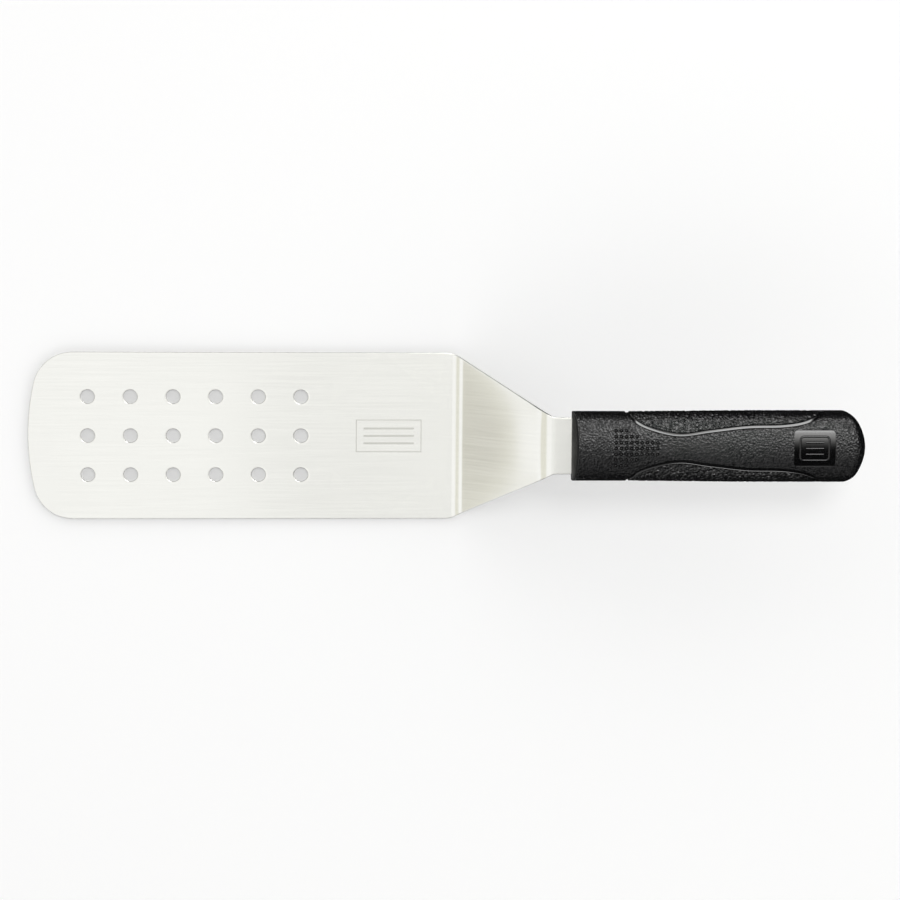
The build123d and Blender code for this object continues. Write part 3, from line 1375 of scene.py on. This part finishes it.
@dataclass
class Handle:
    """The hard core of the handle and the soft panel let into each side of it."""

    form: HandleForm
    polymer: Material
    polished: Material
    # matt is a duller, darker finish that also paints the shade in the bead pits and on the nose.
    matt: Material
    elastomer: Material
    crease_angle: float = 38.0
    nose_depth: float = 3.0 * MM
    nose_facing: float = -0.35
    voxel: float = 0.3 * MM
    pebble: float = 1.7 * MM
    pebble_height: float = 0.32 * MM
    pebble_valley: float = 0.4
    pebble_facing: tuple = (0.3, 0.75)
    edge: PanelEdge = field(init=False)

    def __post_init__(self) -> None:
        """Makes the panels' edge."""
        self.edge = PanelEdge(self.form)

    def core(self) -> Object:
        """Builds the hard core.

        Returns:
            The finished piece.
        """
        body = self.form.envelope(TangSlot(), self.polymer)
        points = FingerPoints(self.form)
        # The pits take the matt finish, which paints shade in them as well as dulling them.
        for tool, cut in ((points.pits(self.matt), Cut.REMOVE), (points.beads(self.polished), Cut.ADD)):
            carve(body, tool, cut)
            discard(tool)
        Recess(self.form).cut_into(body, self.polished)
        for side in Side:
            for tool in (self.edge.groove(side, self.polished), self.edge.pocket(side, self.polymer)):
                carve(body, tool, Cut.REMOVE)
                discard(tool)
        # Painted shade: the nose faces that turn forward take the matt finish, darker and duller than the
        # rest of the core.
        body.data.materials.append(self.matt)
        nose_end = self.form.front_x + self.nose_depth
        for face in body.data.polygons:
            if face.normal.x < self.nose_facing and face.center.x < nose_end:
                face.material_index = len(body.data.materials) - 1
        return self.dressed(body, "handle_core_moulding", "handle_core")

    def panel(self, side: Side) -> Object:
        """Builds one soft grip panel.

        Args:
            side: The side that it is let into.

        Returns:
            The finished piece.
        """
        body = self.form.envelope(TangSlot(), self.elastomer)
        pocket = self.edge.pocket(side, self.elastomer)
        groove = self.edge.groove(side, self.elastomer)
        carve(body, pocket, Cut.KEEP)
        carve(body, groove, Cut.REMOVE)
        discard(pocket, groove)
        skin = body.modifiers.new("skin", "REMESH")
        skin.mode = "VOXEL"
        skin.voxel_size = self.voxel
        apply_modifiers(body)
        self.pebble_skin(body)
        node = f"{side.name.lower()}_grip"
        return self.dressed(body, f"{node}_panel", node)

    def pebble_skin(self, body: Object) -> None:
        """Raises the leather-like pebbles on the outside of a panel.

        Args:
            body: The panel.
        """
        bm = bmesh.new()
        bm.from_mesh(body.data)
        bm.normal_update()
        moves = []
        for vert in bm.verts:
            outward = Vector((0, vert.co.y, vert.co.z - self.form.axis_z)).normalized()
            share = smooth_step(vert.normal.dot(outward), *self.pebble_facing)
            near, far = noise.voronoi(vert.co / self.pebble)[0][:2]
            sunk = smooth_step(far - near, 0.0, self.pebble_valley) - 1
            moves.append(vert.normal * (share * self.pebble_height * sunk))
        for vert, move in zip(bm.verts, moves):
            vert.co += move
        bm.to_mesh(body.data)
        bm.free()

    def dressed(self, body: Object, name: str, node: str) -> Object:
        """Names a finished body, shades it and puts it in its node's place.

        Args:
            body: The finished body.
            name: The name of the piece.
            node: The CAD node that it stands for.

        Returns:
            The same body.
        """
        body.name = body.data.name = name
        body.data.shade_smooth()
        body.data.set_sharp_from_angle(angle=radians(self.crease_angle))
        declare(body, node)
        return body

    def build(self) -> list[Object]:
        """Builds the core and both panels."""
        return [self.core()] + [self.panel(side) for side in Side]


# --- Studio ----------------------------------------------------------------


@dataclass(frozen=True)
class Card:
    """A plain card that only shows in reflections, as a studio sets round bright metal.

    Its colour turns to the far colour, if it has one, towards the handle's left side. A larger rise
    keeps that change nearer to the far edge.
    """

    name: str
    place: tuple
    size: tuple
    facing: tuple
    colour: tuple
    far_colour: tuple = ()
    rise: float = 3.2


@dataclass
class Studio:
    """The floor, the light and the camera."""

    floor_size: float = 8.0
    floor_gap: float = 0.05 * MM
    floor_colour: tuple = (0.97, 0.97, 0.965, 1.0)
    floor_white: float = 0.25
    wall_heights: tuple = (0.20, 0.70)
    wall_light: tuple = (3.00, 0.25)
    camera_place: tuple = (-77.60 * MM, 172.21 * MM, 1387.65 * MM)
    camera_heading: tuple = (0.05833985, -0.12762326, -0.99010543)
    camera_roll: float = 0.027
    lens: float = 122.526
    sensor: float = 36.0
    clip: tuple = (0.01, 50.0)
    softbox_place: tuple = (0.37, 0.61, 1.4)
    softbox_size: tuple = (0.6, 0.42)
    softbox_power: float = 5.2
    cards: tuple = (
        Card("card_over_handle", (0.55, -0.03, 1.30), (0.7, 0.78), (0, 0, -1), (0.03, 0.03, 0.03, 1),
             (4.6, 4.6, 4.5, 1)),
        Card("card_off_handle", (0.55, -0.86, 1.30), (0.7, 0.88), (0, 0, -1), (0.03, 0.03, 0.03, 1)),
        Card("card_beside_handle", (0.37, 0.93, 1.36), (0.6, 0.22), (0, 0, -1), (8.0, 8.0, 7.8, 1)),
        Card("card_over_blade", (0.055, -0.30, 1.34), (0.29, 1.6), (0, 0, -1), (0.885, 0.885, 0.88, 1)),
        Card("card_behind_handle", (0.50, 1.10, 0.52), (0.9, 1.0), (0, -1, 0), (0.05, 0.05, 0.05, 1)),
        Card("card_before_handle", (0.10, -1.30, 0.66), (1.7, 1.28), (0, 1, 0), (0.04, 0.04, 0.04, 1)),
        Card("card_under_handle", (0.50, -0.10, 0.004), (0.9, 2.40), (0, 0, 1), (0.03, 0.03, 0.03, 1)),
        Card("card_past_butt", (1.00, -0.10, 0.40), (2.4, 0.80), (-1, 0, 0), (0.04, 0.04, 0.04, 1)),
        Card("card_past_tip_low", (-1.60, -0.20, 0.045), (2.6, 0.13), (1, 0, 0), (0.59, 0.575, 0.52, 1)),
        Card("card_past_tip", (-1.60, -0.20, 0.166), (2.6, 0.112), (1, 0, 0), (0.78, 0.77, 0.70, 1)),
        Card("card_over_tip", (-1.20, -0.20, 1.46), (2.6, 1.20), (1, 0, 0), (0.82, 0.81, 0.74, 1)),
    )

    def floor(self) -> None:
        """Lays the pale floor, a quarter of whose white stays in the object's shadow."""
        bm = bmesh.new()
        place = Matrix.Translation((0, 0, -self.floor_gap))
        bmesh.ops.create_grid(bm, x_segments=1, y_segments=1, size=self.floor_size / 2, matrix=place)
        material, tree = new_material("studio_floor")
        matt = tree.add("BsdfDiffuse", {"Color": self.floor_colour})
        white = tree.add("Emission", {"Color": (1, 1, 1, 1), "Strength": 1.0})
        share = tree.math("MULTIPLY", self.seen(tree), self.floor_white)
        both = tree.add("MixShader", {0: share, 1: matt.outputs[0], 2: white.outputs[0]})
        tree.add("OutputMaterial", {"Surface": both.outputs[0]})
        finished_object("studio_floor", bm, material)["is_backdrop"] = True

    def seen(self, tree: NodeTree) -> Any:
        """One where the camera looks, or sees by way of metal or glass."""
        path = tree.add("LightPath")
        seen = tree.math("MAXIMUM", path.outputs["Is Camera Ray"], path.outputs["Is Glossy Ray"])
        return tree.math("MAXIMUM", seen, path.outputs["Is Transmission Ray"])

    def world(self) -> None:
        """Lights the spatula from the white walls, and less from the ceiling."""
        world = bpy.data.worlds.new("studio")
        bpy.context.scene.world = world
        world.use_nodes = True
        tree = NodeTree(world.node_tree)
        direction = tree.add("SeparateXYZ", {0: tree.add("TexCoord").outputs["Generated"]})
        walls = tree.ramp(direction.outputs["Z"], *self.wall_heights, *self.wall_light)
        seen = self.seen(tree)
        strength = tree.math("ADD", tree.math("MULTIPLY", walls, tree.math("SUBTRACT", 1.0, seen)), seen)
        room = tree.add("Background", {"Color": (1, 1, 1, 1), "Strength": strength})
        tree.add("OutputWorld", {"Surface": room.outputs[0]})
        world.cycles.sampling_method = "NONE"

    def card(self, card: Card) -> None:
        """Stands a card where only reflections find it.

        Args:
            card: The card.
        """
        bm = bmesh.new()
        turn = Vector(card.facing).to_track_quat("Z", "Y").to_matrix().to_4x4()
        size = Matrix.Diagonal((*card.size, 1, 1))
        bmesh.ops.create_grid(bm, x_segments=1, y_segments=1, size=0.5,
                              matrix=Matrix.Translation(card.place) @ turn @ size)
        material, tree = new_material(card.name)
        tone = card.colour
        if card.far_colour:
            place = tree.add("SeparateXYZ", {0: tree.add("TexCoord").outputs["Object"]}).outputs["Y"]
            near, far = (card.place[1] + side * card.size[1] / 2 for side in (-1, 1))
            share = tree.math("POWER", tree.ramp(place, near, far), card.rise)
            tone = tree.blend(share, card.colour, card.far_colour)
        grey = tree.add("Emission", {"Color": tone, "Strength": 1.0})
        tree.add("OutputMaterial", {"Surface": grey.outputs[0]})
        piece = finished_object(card.name, bm, material)
        piece.visible_camera = piece.visible_diffuse = piece.visible_shadow = False
        piece.visible_transmission = piece.visible_volume_scatter = False
        piece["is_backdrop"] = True

    def softbox(self) -> None:
        """Hangs a soft lamp beside the handle, tilted towards the middle line."""
        light = bpy.data.lights.new("side_softbox", "AREA")
        light.shape = "RECTANGLE"
        light.size, light.size_y = self.softbox_size
        light.energy = self.softbox_power
        lamp = bpy.data.objects.new(light.name, light)
        lamp.location = self.softbox_place
        _, y, z = self.softbox_place
        lamp.rotation_euler = Vector((0, -y, -z)).to_track_quat("-Z", "Y").to_euler()
        lamp.visible_camera = False
        bpy.context.scene.collection.objects.link(lamp)

    def camera(self) -> None:
        """Sets the camera above the spatula."""
        data = bpy.data.cameras.new("camera")
        data.lens = self.lens
        data.sensor_width = self.sensor
        data.clip_start, data.clip_end = self.clip
        heading = Vector(self.camera_heading).normalized()
        right = (Vector((1, 0, 0)) - heading * heading.x).normalized()
        right = Matrix.Rotation(radians(-self.camera_roll), 3, heading) @ right
        up = right.cross(heading)
        turn = Matrix((right, up, -heading)).transposed().to_4x4()
        camera = bpy.data.objects.new("camera", data)
        camera.matrix_world = Matrix.Translation(self.camera_place) @ turn
        bpy.context.scene.collection.objects.link(camera)
        bpy.context.scene.camera = camera

    def build(self) -> None:
        """Sets up the whole studio."""
        self.floor()
        self.world()
        for card in self.cards:
            self.card(card)
        self.softbox()
        self.camera()
        bpy.context.scene.view_settings.view_transform = "Standard"


def main() -> None:
    """Builds the spatula and its studio from the measured box of the CAD parts, and logs each piece's face
    count.
    """
    logging.basicConfig(level=logging.INFO, format="%(name)s: %(message)s")
    cad_box = measured_box()
    low, high = (Vector(corner) for corner in cad_box)
    brushed = brushed_texture()
    moulded = moulded_grain_and_painted_glints()
    steel = BrushedSteel(brushed, etching=Etching()).material()
    sheared = BrushedSteel(
        brushed, "sheared_stainless", light=(0.60, 0.60, 0.56, 1.0), dark=(0.48, 0.48, 0.45, 1.0),
        roughness=(0.38, 0.5), anisotropy=0.0, across=2400.0, along=400.0,
    ).material()
    polymer = Moulded(moulded, "black_polymer").material()
    smooth = {"light": (0.003, 0.003, 0.0035, 1.0), "dark": (0.001, 0.001, 0.0012, 1.0)}
    polished = Moulded(
        moulded, "polished_polymer", **smooth, roughness=0.13, specular=0.7, height=0.001 * MM, wear=0.1,
    ).material()
    # The matt finish also paints shade: it darkens the bead pits and the forward-facing nose.
    matt = Moulded(moulded, "matt_polymer_and_painted_shade", **smooth, roughness=0.6, specular=0.2).material()
    elastomer = Moulded(moulded, "black_elastomer", roughness=0.2, specular=0.65, grain=1000.0).material()
    blade = Blade(steel, sheared, low.x, high.x - HandleForm.length)
    pieces = [blade.build()]
    form = HandleForm(blade.handle_x, blade.crank_rise + blade.sheet / 2)
    pieces += Handle(form, polymer, polished, matt, elastomer).build()
    for piece in pieces:
        LOG.info("%s is ready with %d faces", piece.name, len(piece.data.polygons))
    Studio().build()


if __name__ == "__main__":
    main()
